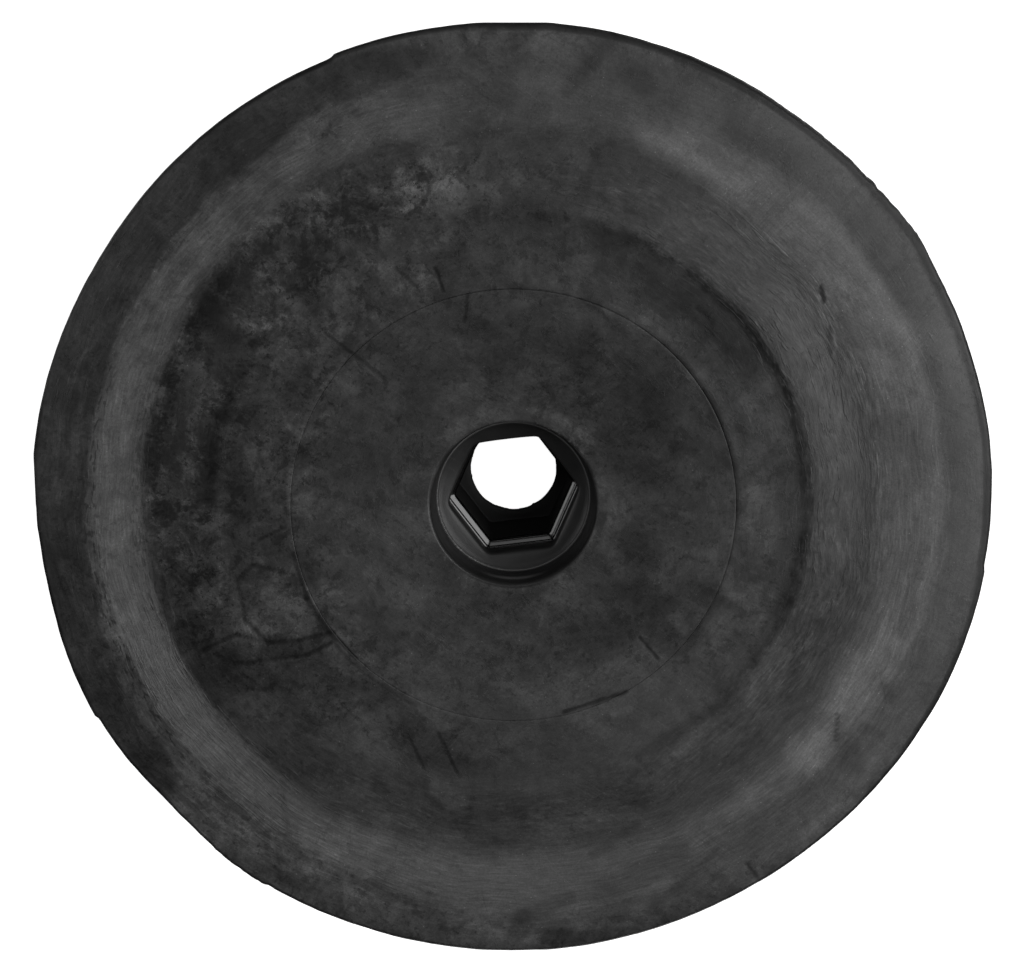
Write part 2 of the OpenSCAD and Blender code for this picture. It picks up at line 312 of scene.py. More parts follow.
# Smudges and rubbed places: from one x, y to another, half-width, all in millimetres, and stops.
SMUDGES = [
    # beside the step, on the +X side
    (22, 37.5, 38, 23.5, 3.2, -0.7), (41, 20, 44.5, 10, 1.0, -0.6), (44.6, 10, 45.4, -5, 0.9, -0.6),
    (45, -6, 43, -15, 1.1, -0.6), (43, -15, 38.5, -24, 1.3, -0.6), (38, -25, 32, -33, 1.0, -0.4),
    (32, -33, 20, -41, 0.8, -0.4), (12, 44, 20, 41, 1.5, -0.4), (25, -42, 31, -36, 1.0, 0.4),
    # the flat between the pad and the step
    (38, 20, 41, 9, 2.0, 0.3), (37, 4, 41, -8, 3.0, 0.35), (31, 31, 38, 20, 1.5, -0.2),
    (26, 32, 33, 26, 0.5, -0.5), (35.5, 16, 35.5, 3, 0.6, -0.5), (36, 4, 40, 9, 0.5, -0.4),
    (33, -15, 38, -18, 0.7, -0.5), (35, -20, 38.5, -24, 0.5, -0.5), (31, -22, 33, -30, 0.5, -0.4),
    (11, -34.6, 18, -32, 1.5, 0.5), (36, -5, 38, -11, 1.0, -0.4), (5, -38, 25, -34, 2.5, 0.15),
    (-12, -46.5, -9, -49, 1.5, 0.5), (-20, -45, -18, -47, 1.2, 0.3), (-38, -31, -35, -34, 1.0, 0.4),
    (-10, 38, -14, 36, 1.5, 0.3), (-21, 40, -17, 36, 2.0, 0.3), (-40, 10, -37, 5, 3.0, 0.35),
    (10, 40, 8, 36, 2.5, 0.2), (-46, 4, -50, 12, 2.5, -0.2), (-28, 36, -24, 32, 3.0, 0.2),
    (16, 31, 21, 29, 2.0, 0.3), (-37, 20, -31, 26, 2.5, 0.2), (-47, -14, -49, -17, 1.8, 0.4),
    # the pad
    (22, 14, 31, 8, 2.2, -0.5), (18, 19, 24, 16, 2.0, -0.35), (8, 30, 20, 21, 5.0, -0.25),
    (4, 29.5, 8, 28, 2.5, 0.2), (12, -14, 31, -14, 1.6, -0.4), (27, -13, 32, -15, 1.2, -0.4),
    (25.5, -18, 27, -19.5, 1.0, 0.8), (24, -17, 29, -21, 2.2, -0.4), (27, -24, 31, -17, 0.6, -0.5),
    (15, -5, 22, -7, 1.5, -0.3), (12, -7, 14, -9, 1.0, -0.4), (-7, 29, -4, 28.4, 1.2, -0.4),
    (-20, 9, -19, 3, 0.6, -0.3), (-24, 8, -23, 4, 2.0, -0.15), (5, -27, 15, -20, 3.0, -0.2),
    (3, -31, 8, -29, 2.5, 0.25), (21, -3, 30, -1, 3.0, -0.15), (-28, 12, -26, -12, 3.5, 0.15),
    (30, 19, 34, 7, 0.8, -0.5), (32, 12, 33, 9, 1.0, 0.4), (-22, -25, -17, -27, 2.0, 0.2),
    # the trough and the ring
    (-36, 42, -30, 39, 2.5, -0.5), (-47, 34, -43, 27, 2.0, -0.4), (-45, 28, -43.5, 27, 1.2, -0.7),
    (-52, 25, -50, 19, 1.5, -0.5), (-57, 10, -55, 4, 2.0, -0.3), (12, 54, 13, 43, 2.2, -0.35),
    (17, 48, 18, 44, 1.3, -0.4), (-7.6, 55, -5.6, 46, 0.6, -0.4), (-19.5, 52, -17.6, 47, 0.8, -0.3),
    (-3, 56, 6, 55, 3.0, -0.3), (27, 62, 30, 61, 1.5, 0.4), (47, 48, 60, 24, 4.5, 0.35),
    (52, 24, 56, 9, 2.0, -0.3), (59, 12, 69, 10, 3.0, -0.25), (55, 4, 55, -15, 2.2, -0.35),
    (62, -20, 64.5, -6, 0.8, -0.25), (53, -38, 54.5, -43, 1.8, -0.4), (59, -21, 51, -33, 1.5, 0.3),
    (38, -45, 48, -38, 3.0, 0.3), (15, -64, 27, -57, 2.0, -0.35), (13, -58.5, 20, -53.5, 0.6, -0.4),
    (-37.4, -46, -36.6, -54, 0.5, -0.6), (-4, 66, -2, 73, 3.5, -0.35), (20, 57, 34, 49, 2.0, 0.3),
    # the outer roll
    (8, 65, 12, 70, 0.9, -0.5), (12, 69, 15, 73, 0.8, -0.5), (17, 68, 20, 66, 1.5, -0.4),
    (4, 73, 7, 67, 2.5, 0.2), (0.5, -72, 1.5, -68.5, 1.3, -0.5), (1.5, -68.5, 9, -65, 1.0, -0.5),
    (6, -72.5, 20, -71.5, 1.2, -0.7), (20, -70, 33, -57, 0.9, -0.35), (33, -62, 36, -65, 1.5, -0.3),
    (60, -31, 59, -29, 0.7, -0.5), (56, -36, 59, -37, 0.7, -0.4), (69.5, -22, 70, -25, 1.0, -0.5),
    (-71.8, 4, -70.5, 17, 0.6, 0.5), (-69, 7, -66, 21, 0.7, 0.35), (-42, 57, -47, 51, 2.5, -0.3),
    (-63, -20, -66, -26, 2.5, 0.3), (-62, -36, -45, -57, 4.0, 0.25), (-22, 66, -16, 69, 2.0, 0.3),
    # rubbed lenses between the creases
    (-38, -13, -33.5, -18, 1.7, 0.35), (-44, -27.5, -34, -28, 1.3, 0.3),
    (-31, -25, -27, -27, 1.0, 0.35), (-43, -20, -38, -19.5, 0.9, 0.3),
]

# Creases and cuts in the rubber: from one x, y to another, half-width, and how strong. A cut is
# CREASE_DEPTH deep for a strength of 1, and a negative one stands up.
CREASE_DEPTH = 0.35
CREASES = [
    (-34.5, -7, -32.6, -14.5, 0.3, 0.19), (-32.6, -14.5, -29, -20, 0.3, 0.19),
    (-29, -20, -25, -24.4, 0.3, 0.19), (-29, -22, -33, -24, 0.3, 0.19),
    (-33, -24, -44, -25.5, 0.3, 0.14), (-28.5, -20, -34, -21.6, 0.3, 0.17),
    (-34, -21.6, -39, -22, 0.3, 0.17), (-39, -22, -44, -20.5, 0.3, 0.14),
    (-44, -20.5, -50, -24, 0.3, 0.12), (-43.5, -12, -42.6, -18, 0.3, 0.14),
    (-42.6, -18, -39, -22, 0.3, 0.17), (-41, -9, -36, -10.4, 0.3, 0.14),
    (-44, -12, -41, -9, 0.3, 0.12), (-36, -3, -40, -5, 0.3, 0.14),
    (-12, 38, -10.8, 34.6, 0.25, 0.25), (-7, 34, -7.6, 30, 0.25, 0.14),
    (-29, 28, -25, 25, 0.25, 0.14), (-25, 25, -20, 21, 0.25, 0.1),
    (-32, 21.5, -30, 20, 0.25, 0.12), (-25, 50, -29, 45, 0.25, 0.12),
    (-17, -37, -14.5, -43, 0.25, 0.12), (-12, -37, -9, -44, 0.25, 0.12),
    (20, -21, 23, -24.5, 0.25, 0.18), (28, 32, 30.5, 29.5, 0.25, 0.14),
    (47.4, 35, 48, 32.6, 0.25, -0.2), (49, 28.5, 49.4, 25, 0.25, -0.2),
    (40.4, 23, 41.6, 21, 0.3, -0.25), (42, 19.5, 43, 18, 0.25, -0.2),
    (8, -33.4, 18, -30, 0.25, 0.18), (-18, 38, -14.6, 35, 0.25, 0.1),
    (52, -34, 51.6, -38, 0.25, 0.12), (38, -59, 39.6, -62, 0.3, 0.14),
]


def patch_sum(patches, r, theta, ragged):
    """The sum of the patches, with ragged borders."""
    total = 0 * r
    for angle, spread, radius, reach, soft, amount in patches:
        away = np.hypot(turn(theta, angle) / spread, (r - radius) / reach)
        total = total + amount * ease((1 + soft / 2 - away + 0.12 * ragged) / soft)
    return total


def stroke_sum(strokes, points, ragged):
    """The sum of the straight strokes, with ragged borders."""
    x, y = points[..., 0], points[..., 1]
    total = 0 * x
    for x0, y0, x1, y1, half_width, amount in strokes:
        along_x, along_y = x1 - x0, y1 - y0
        share = ((x - x0) * along_x + (y - y0) * along_y) / (along_x**2 + along_y**2)
        share = np.clip(share, 0, 1)
        away = np.hypot(x - x0 - share * along_x, y - y0 - share * along_y) / half_width
        total = total + amount * ease((1.5 - away + 0.5 * ragged) / 1.0)
    return total


def edge_shade_band(r, theta):
    """1 on a band of painted shade along the cut edge, wide on the +X+Y side."""
    width = mix(0.35, 1.5, bump(turn(theta, 30), 0, 100))
    return ease((width - outline_radius(theta) + r) / 0.3 + 0.5)


def paint_wear_and_light(skin, points):
    """Stores how light, scuffed, blotched, pitted and polished the rubber is at each vertex. The
    lightness holds wear, and also painted shade and painted highlights.
    """
    r = np.hypot(points[..., 0], points[..., 1])
    theta = np.arctan2(points[..., 1], points[..., 0])
    ragged = fractal(points, 7, seed=11, octaves=5)
    radii, stops = zip(*RING_TONE)
    tone = np.interp(r + 0.6 * ragged * ease((72 - r) / 3) * ease((r - 14) / 3), radii, stops)
    tone = tone + patch_sum(TONE_PATCHES, r, theta, ragged)
    tone = tone + stroke_sum(SMUDGES, points, ragged)
    # The creases, cuts and raised lines are painted darker along their length; in the creases and
    # cuts this is painted shade.
    tone = tone - 9 * np.abs(stroke_sum(CREASES, points, ragged * 0.6))
    # Painted shade: a darker band along the cut edge.
    tone = tone - 2.1 * edge_shade_band(r, theta)
    polish = ease((13.2 - r) / 0.5)
    paint(skin, "tone", tone)
    paint(skin, "scuff", (1 - polish) * (0.2 + patch_sum(SCUFF_PATCHES, r, theta, ragged)))
    paint(skin, "blotch", mix(1.0 + patch_sum(BLOTCH_PATCHES, r, theta, ragged), 0.2, polish))
    paint(skin, "polish", polish)
    paint(skin, "pitted", patch_sum(PIT_PATCHES, r, theta, ragged))


# The cut outline's bulges and flats: angle and half-width in degrees, and millimetres.
BULGES = [
    (8, 12, 0.15), (35, 6, 0.4), (55, 14, -0.3), (84, 14, 0.2), (145, 12, -0.15),
    (188, 9, -0.2), (222, 12, -0.6), (306, 34, -0.45),
]

# Where the knife came back in: the edge swells up to this angle and then drops. Angle, length of
# the swelling, and millimetres.
KNIFE_STOPS = [(111, 30, 0.4), (179, 30, 0.55), (207, 14, 0.4), (237, 9, 0.3), (352, 24, 0.2)]


def outline_radius(theta):
    """The rim's edge: cut round by hand, so it has flats, nicks and ragged flash."""
    around = np.stack([np.cos(theta), np.sin(theta), 0 * theta], axis=-1) * DISC_R
    radius = DISC_R - 0.05 + 0.05 * fractal(around, 12, seed=3) + 0.04 * fractal(around, 3, seed=5)
    for angle, width, height in BULGES:
        radius = radius + height * bump(turn(theta, angle), 0, width)
    for angle, length, height in KNIFE_STOPS:
        away = turn(theta, angle)
        radius = radius + height * ease(1 + away / length) * ease(1 - away / 0.8)
    ragged = bump(turn(theta, 45), 0, 24) + bump(turn(theta, 232), 0, 10)
    radius = radius + 0.14 * ragged * fractal(around, 0.9, seed=7, octaves=2)
    square = (DISC_R - 0.03) / np.maximum(np.abs(np.cos(theta)), np.abs(np.sin(theta)))
    return np.minimum(radius, square)


# ---------------------------------------------------------------- rubber pieces


def make_disc_skin():
    """The web and the sealing rim: one skin from the pad's edge to the cut outline."""
    lathe = Lathe(810)
    theta, edge = lathe.theta, outline_radius(lathe.theta)
    lathe.add(PAD_R, FACE_Z - 4)
    lathe.add(PAD_R, FACE_Z - 0.17)
    for r, z in arc(PAD_R + 0.16, FACE_Z - 0.15, 0.16, 0.15, 170, 96, 4):
        lathe.add(r, z)
    for r in steps(PAD_R + 0.5, RIDGE_R, 0.45):
        lathe.add(r, FACE_Z + face_rise(r, theta))
    edge_round = 0.3
    top_z = FACE_Z - EDGE_DROP
    for t in steps(0.05, 1, 0.05):
        r = mix(RIDGE_R, edge - edge_round, t)
        lathe.add(r, FACE_Z + face_rise(r, theta))
    for r, z in arc(0, 0, edge_round, edge_round, 75, 0, 4):
        lathe.add(edge - edge_round + r, top_z - edge_round + z)
    for z in steps(top_z - 0.9, top_z - EDGE_T + 1, 0.6):
        lathe.add(edge, z)
    for r, z in arc(0, 0, 1, 1, -15, -90, 4):
        lathe.add(edge - 1 + r, top_z - EDGE_T + 1 + z)
    for r in steps(DISC_R - 3, SPLIT_R + 3, 3):
        lathe.add(r, FACE_Z - WEB_TIP_T)
    for r in steps(SPLIT_R, PAD_R + 1, 3):
        fall = mix(WEB_ROOT_T, WEB_TIP_T, ease((r - PAD_R) / (SPLIT_R - PAD_R)))
        lathe.add(r, FACE_Z - fall)
    lathe.add(PAD_R, FACE_Z - WEB_ROOT_T)

    points = lathe.points()
    r = np.hypot(points[..., 0], points[..., 1])
    on_face = (points[..., 2] > FACE_Z - 2.6) * ease((r - PAD_R - 0.3) / 2)
    points[..., 2] += on_face * 0.10 * (fractal(points, 18, seed=21) - 1) * ease((75 - r) / 2)
    points[..., 2] -= on_face * CREASE_DEPTH * stroke_sum(CREASES, points, 0)
    skin = lathe.build("disc_skin", points)
    paint_wear_and_light(skin, points)
    return skin


# The counterbore's floor, from its edge to the hexagonal mouth: share of the way, and how far it
# drops below a straight slope. Then the throat under it: share of the way to its waist, and depth.
MOUTH_PROFILE = [
    (0.3, 0), (0.6, 0), (0.8, 0.02), (0.9, 0.1), (0.96, 0.3), (0.99, 0.6), (1, 1.1),
]
WAIST_PROFILE = [(0.25, 10.9), (0.7, 11.3), (0.95, 11.6), (1, 11.9), (1, 12.2)]


def make_pad_skin():
    """The centre pad with its rounded mouth, counterbore and soft hexagonal lip."""
    lathe = Lathe(720)
    lathe.add(PAD_R, FACE_Z - 5)
    lathe.add(PAD_R, FACE_Z - 0.17)
    for r, z in arc(PAD_R - 0.14, FACE_Z - 0.13, 0.14, 0.13, 10, 84, 4):
        lathe.add(r, z)
    for r in steps(PAD_R - 0.4, DISH_IN_R, 0.35):
        lathe.add(r, FACE_Z + face_rise(r))
    lip_w, lip_h = DISH_IN_R - MOUTH_R, MOUTH_DEPTH - DISH_H
    for r, z in arc(DISH_IN_R, FACE_Z - MOUTH_DEPTH, lip_w, lip_h, 96, 180, 16):
        lathe.add(r, z)
    for t in steps(0.12, 0.94, 0.12):
        lathe.add(
            mix(MOUTH_R, COUNTERBORE_R + 0.12, t),
            FACE_Z - mix(MOUTH_DEPTH, COUNTERBORE_DEPTH, t),
        )
    floor_z = FACE_Z - COUNTERBORE_DEPTH
    for r, z in arc(COUNTERBORE_R, floor_z, 0.1, 0.1, -10, 190, 7):
        lathe.add(r, z)
    foot_r, foot_z = COUNTERBORE_R - 0.34, floor_z - 0.2
    lathe.add(foot_r, foot_z)
    mouth = hexagon(lathe.theta, HEX_MOUTH_AF, 26)
    for t, drop in MOUTH_PROFILE:
        r = mix(foot_r, mouth, t)
        lathe.add(r, foot_z - 0.25 * (foot_r - r) - drop)
    waist = hexagon(lathe.theta, HEX_LIP_AF + 2.0, 34)
    groove = hexagon(lathe.theta, HEX_LIP_AF + 2.6, 34)
    for t, depth in WAIST_PROFILE:
        lathe.add(mix(mouth, waist, t), FACE_Z - depth)
    for depth in (12.4, 13.2):
        lathe.add(groove, FACE_Z - depth)
    lathe.add(groove, INSERT_TOP_Z + 0.03)
    for r in (13, BOSS_R - 0.02):
        lathe.add(r, INSERT_TOP_Z + 0.03)
    lathe.add(BOSS_R - 0.02, FACE_Z - PLATE_TOP)
    lathe.add(24, FACE_Z - PLATE_TOP)

    points = lathe.points()
    r = np.hypot(points[..., 0], points[..., 1])
    near_mouth = ease((20 - r) / 6) * ease((points[..., 2] - floor_z - 0.3) / 5)
    points[..., 1] += MOUTH_SHIFT * near_mouth
    on_face = (points[..., 2] > FACE_Z - 1.4) * ease((PAD_R - 0.5 - r) / 2) * ease((r - 14) / 2)
    points[..., 2] += on_face * 0.06 * fractal(points, 14, seed=31)
    points[..., 2] -= on_face * CREASE_DEPTH * stroke_sum(CREASES, points, 0)
    skin = lathe.build("pad_skin", points)
    paint_wear_and_light(skin, points)
    return skin


# The insert's ledge, from its outer edge to its lip: share of its width, and how far it drops.
LEDGE_PROFILE = [
    (0.08, 0.02), (0.3, 0.08), (0.55, 0.18), (0.75, 0.27), (0.88, 0.36), (0.96, 0.5), (1, 0.8),
]


def make_hex_insert():
    """The hard hexagonal pocket: bevelled lip, undercut, straight walls and thin floor."""
    lathe = Lathe(540)
    theta = lathe.theta
    lip = hexagon(theta, HEX_LIP_AF, 60)
    ledge = hexagon(theta, HEX_LIP_AF + 1.8, 50)
    pocket = hexagon(theta, HEX_AF, 60)
    top, floor_z = INSERT_TOP_Z, FACE_Z - POCKET_DEPTH
    lathe.add(BOSS_R - 0.1, top - 1.9)
    lathe.add(BOSS_R - 0.1, top)
    lathe.add(12.5, top)
    lathe.add(ledge + 0.3, top)
    lathe.add(ledge + 0.22, top - 0.12)
    lathe.add(ledge + 0.1, top - 0.14)
    lathe.add(ledge, top + 0.02)
    for t, drop in LEDGE_PROFILE:
        lathe.add(mix(ledge, lip, t), top - drop)
    lathe.add(lip, top - 1.45)
    for t, drop in ((0.2, 1.6), (0.85, 1.75), (1, 1.95)):
        lathe.add(mix(lip, pocket, t), top - drop)
    for t in steps(0.1, 0.95, 0.17):
        lathe.add(pocket, mix(top - 1.95, floor_z, t))
    lathe.add(pocket, floor_z + 0.3)
    lathe.add(pocket, floor_z + 0.03)
    lathe.add(pocket - 0.03, floor_z)
    lathe.add(pocket - 0.3, floor_z)
    around = np.stack([np.cos(theta), np.sin(theta), 0 * theta], axis=-1) * HOLE_R
    flash = np.maximum(fractal(around, 0.7, seed=43) - 0.45, 0)
    ragged = 0.09 * fractal(around, 2.2, seed=41) + 0.16 * flash
    hole = HOLE_R + 0.02 - np.maximum(ragged, -0.02)
    lathe.add(HOLE_R + 1, floor_z)
    lathe.add(hole + 0.15, floor_z)
    lathe.add(hole, floor_z - 0.12)
    lathe.add(hole, INSERT_BOTTOM_Z + 0.12)
    lathe.add(hole + 0.12, INSERT_BOTTOM_Z)
    for r in (9.5, 13.95):
        lathe.add(r, INSERT_BOTTOM_Z)
    lathe.add(13.95, top - 2.02)
    lathe.add(15, top - 2.02)
    points = lathe.points()
    skin = lathe.build("hex_insert_skin", points)
    paint(skin, "deep", ease((top - 1.1 - points[..., 2]) / 1.2))
    return skin


def gusset_share(theta, half_width):
    """1 on a gusset's back and 0 between gussets, with filleted sides."""
    away = np.abs((np.degrees(theta) % 45) - 22.5)
    return ease((half_width + 2.2 - away) / 3.2)


def make_shoulder_skin():
    """The flared rubber behind the plate, with its gussets."""
    lathe = Lathe(480)
    theta = lathe.theta
    flare_z = SHOULDER_Z + 2.4
    root_z = FACE_Z - WEB_ROOT_T
    plate_z = FACE_Z - PLATE_BOTTOM
    lathe.add(14.4, SHOULDER_Z + 0.02)
    lathe.add(NECK_R - 0.2, SHOULDER_Z + 0.02)
    for t in steps(0, 1, 0.04):
        z = mix(SHOULDER_Z + 0.1, root_z, t)
        flare_t = np.clip((z - flare_z) / (root_z - flare_z), 0, 1)
        flare = mix(NECK_R, PAD_R, 1 - math.sqrt(1 - flare_t**2))
        rib = mix(NECK_R + 1.3, PAD_R - 1.7, np.clip(t * 1.08, 0, 1))
        half_width = math.degrees(1.6 / max(rib, 1))
        outer = flare + np.maximum(rib - flare, 0) * gusset_share(theta, half_width)
        lathe.add(np.minimum(outer, PAD_R - 0.06), z)
    lathe.add(PAD_R - 0.06, root_z + 0.1)
    lathe.add(PAD_R - 0.06, plate_z)
    lathe.add(BOSS_R + 0.02, plate_z)
    lathe.add(BOSS_R + 0.02, INSERT_TOP_Z - 1.98)
    lathe.add(14.4, INSERT_TOP_Z - 2.05)
    points = lathe.points()
    points[..., :2] *= 1 - 0.004 * np.maximum(fractal(points, 12, seed=51), 0)[..., None]
    return lathe.build("shoulder_skin", points)


def make_neck_skin():
    """The neck: three rolled beads, the band's seat and the end that the part stands on."""
    lathe = Lathe(360)
    seat_r = NECK_R - 0.5
    lathe.add(SLEEVE_FLANGE_R + 0.05, 0)
    lathe.add(NECK_R - 1.2, 0)
    for r, z in arc(NECK_R - 1, 1, 1, 1, -75, 0, 5):
        lathe.add(r, z)
    lathe.add(NECK_R, BAND_LOW - 0.25)
    lathe.add(NECK_R - 0.12, BAND_LOW - 0.06)
    lathe.add(seat_r - 0.03, BAND_LOW - 0.02)
    lathe.add(seat_r - 0.03, BAND_HIGH + 0.02)
    lathe.add(NECK_R - 0.12, BAND_HIGH + 0.06)
    lathe.add(NECK_R, BAND_HIGH + 0.25)
    for bead in range(3):
        z = BAND_HIGH + 4 + 5 * bead
        lathe.add(NECK_R, z - 2.1)
        lathe.add(NECK_R + 0.12, z - 1.65)
        for dr, dz in arc(0, 0, 1.55, 1.55, -62, 62 if bead < 2 else 80, 11):
            lathe.add(NECK_R + dr, z + dz)
        if bead < 2:
            lathe.add(NECK_R + 0.12, z + 1.65)
    lathe.add(NECK_R - 0.2, SHOULDER_Z)
    lathe.add(SLEEVE_R + 0.03, SHOULDER_Z)
    lathe.add(SLEEVE_R + 0.03, SLEEVE_FLANGE_T + 0.05)
    lathe.add(SLEEVE_FLANGE_R + 0.05, SLEEVE_FLANGE_T + 0.05)
    points = lathe.points()
    points[..., :2] *= 1 - 0.003 * np.maximum(fractal(points, 9, seed=61), 0)[..., None]
    return lathe.build("neck_skin", points)


def make_band():
    """The steel band: rolled edges and a lapped, spot-welded joint."""
    lathe = Lathe(360)
    theta = lathe.theta
    inner, outer = NECK_R - 0.45, NECK_R + 0.45
    lap = 0.35 * ease((9 - np.abs(turn(theta, 262))) / 0.8)
    dimple = 0
    for angle in (257, 262, 267):
        dimple = dimple + np.exp(-((turn(theta, angle) / 1.4) ** 2))
    middle = (BAND_LOW + BAND_HIGH) / 2
    lathe.add(inner, BAND_LOW + 0.3)
    for r, z in arc(outer, BAND_LOW + 0.7, 0.65, 0.65, 215, 415, 12):
        lathe.add(r + lap * 0.5, z)
    for t in steps(0.06, 0.94, 0.06):
        z = mix(BAND_LOW + 1.4, BAND_HIGH - 1.4, t)
        pressed = dimple * math.exp(-(((z - middle) / 0.6) ** 2))
        lathe.add(outer + lap - 0.22 * pressed, z)
    for r, z in arc(outer, BAND_HIGH - 0.7, 0.65, 0.65, -55, 145, 12):
        lathe.add(r + lap * 0.5, z)
    lathe.add(inner, BAND_HIGH - 0.3)
    return lathe.build("band_skin")


# ---------------------------------------------------------------- materials


class Nodes:
    """A short way to wire a material's nodes."""

    def __init__(self, name):
        self.material = bpy.data.materials.new(name)
        self.material.use_nodes = True
        self.tree = self.material.node_tree
        self.shader = self.tree.nodes["Principled BSDF"]
        self.place = self.add("ShaderNodeTexCoord").outputs["Object"]

    def add(self, kind, **inputs):
        """A new node. Inputs are values or other nodes' outputs, by name or number."""
        node = self.tree.nodes.new(kind)
        for name, value in inputs.items():
            socket = node.inputs[int(name[1:]) if name[1:].isdigit() else name.replace("_", " ")]
            self.link(value, socket)
        return node

    def link(self, value, socket):
        if isinstance(value, bpy.types.NodeSocket):
            self.tree.links.new(value, socket)
        else:
            socket.default_value = value

    def math(self, operation, a, b=0.0):
        node = self.add("ShaderNodeMath", i0=a, i1=b)
        node.operation = operation
        return node.outputs[0]

    def along(self, degrees, length, width):
        """Coordinates for marks that run straight in one direction, sizes in metres."""
        node = self.add("ShaderNodeVectorRotate", Vector=self.place, Angle=math.radians(degrees))
        node.rotation_type = "Z_AXIS"
        stretched = self.add(
            "ShaderNodeVectorMath", i0=node.outputs[0], i1=(1 / length, 1 / width, 300)
        )
        stretched.operation = "MULTIPLY"
        return stretched.outputs[0]

    def polar(self, turns, per_metre, wander=0.0):
        """Coordinates for marks that run round the Z axis.

        turns sets how short they are, per_metre how narrow, and wander how far they stray."""
        x, y, z = self.add("ShaderNodeSeparateXYZ", i0=self.place).outputs
        flat = self.add("ShaderNodeCombineXYZ", i0=x, i1=y)
        around = self.add("ShaderNodeVectorMath", i0=flat.outputs[0])
        around.operation = "NORMALIZE"
        length = self.add("ShaderNodeVectorMath", i0=flat.outputs[0])
        length.operation = "LENGTH"
        place = self.math("ADD", length.outputs["Value"], z)
        if wander:
            stray = self.noise(self.place, 60, 1)
            place = self.math("ADD", place, self.math("MULTIPLY", stray, wander))
        a, b, c = self.add("ShaderNodeSeparateXYZ", i0=around.outputs[0]).outputs
        joined = self.add(
            "ShaderNodeCombineXYZ",
            i0=self.math("MULTIPLY", a, turns),
            i1=self.math("MULTIPLY", b, turns),
            i2=self.math("MULTIPLY", place, per_metre),
        )
        return joined.outputs[0]

    def total(self, first, *others):
        """The sum of several values."""
        for other in others:
            first = self.math("ADD", first, other)
        return first

    def times(self, a, b):
        return self.math("MULTIPLY", a, b)

    def around_half(self, value, amount):
        """A noise value moved to lie round 0, with its swing multiplied by amount."""
        return self.times(self.math("SUBTRACT", value, 0.5), amount)

    def painted(self, name, otherwise):
        """A value stored on the mesh, or one number where the mesh has none."""
        if name is None:
            return otherwise
        node = self.add("ShaderNodeAttribute")
        node.attribute_name = name
        return node.outputs["Fac"]

    def dashes(self, degrees, length, width, few):
        """Straight marks in one direction, from 0 to 1. They grow fewer as few grows."""
        streaks = self.noise(self.along(degrees, length, width), 1, 1, 0.5)
        return self.spread(streaks, few, few + 0.06)

    def specks(self, per_metre, size):
        """Tiny dots, size as a share of their spacing, from 0 to 1."""
        node = self.add("ShaderNodeTexVoronoi", Vector=self.place, Scale=per_metre)
        return self.spread(node.outputs["Distance"], size, size * 0.6)

    def noise(self, vector, scale, detail=3.0, roughness=0.55, distortion=0.0):
        node = self.add(
            "ShaderNodeTexNoise", Vector=vector, Scale=scale, Detail=detail,
            Roughness=roughness, Distortion=distortion,
        )
        return node.outputs["Fac"]

    def spread(self, value, low, high, to_low=0.0, to_high=1.0):
        """value from low..high to to_low..to_high, clamped, with soft ends."""
        node = self.add(
            "ShaderNodeMapRange", i0=value, i1=low, i2=high, i3=to_low, i4=to_high
        )
        node.interpolation_type = "SMOOTHSTEP"
        return node.outputs[0]

    def blend(self, factor, a, b):
        """A colour between a and b."""
        node = self.add("ShaderNodeMix")
        node.data_type = "RGBA"
        for value, socket in ((factor, node.inputs[0]), (a, node.inputs[6]), (b, node.inputs[7])):
            self.link(value, socket)
        return node.outputs[2]

    def relief(self, height, depth, strength=1.0, under=None):
        """A bump of that depth in metres, on top of another bump."""
        node = self.add("ShaderNodeBump", Height=height, Distance=depth, Strength=strength)
        if under is not None:
            self.tree.links.new(under, node.inputs["Normal"])
        return node.outputs["Normal"]


def grey(level, warm=0.0):
    """A nearly neutral colour."""
    return (level * (1 + warm), level, level * (1 - warm), 1)


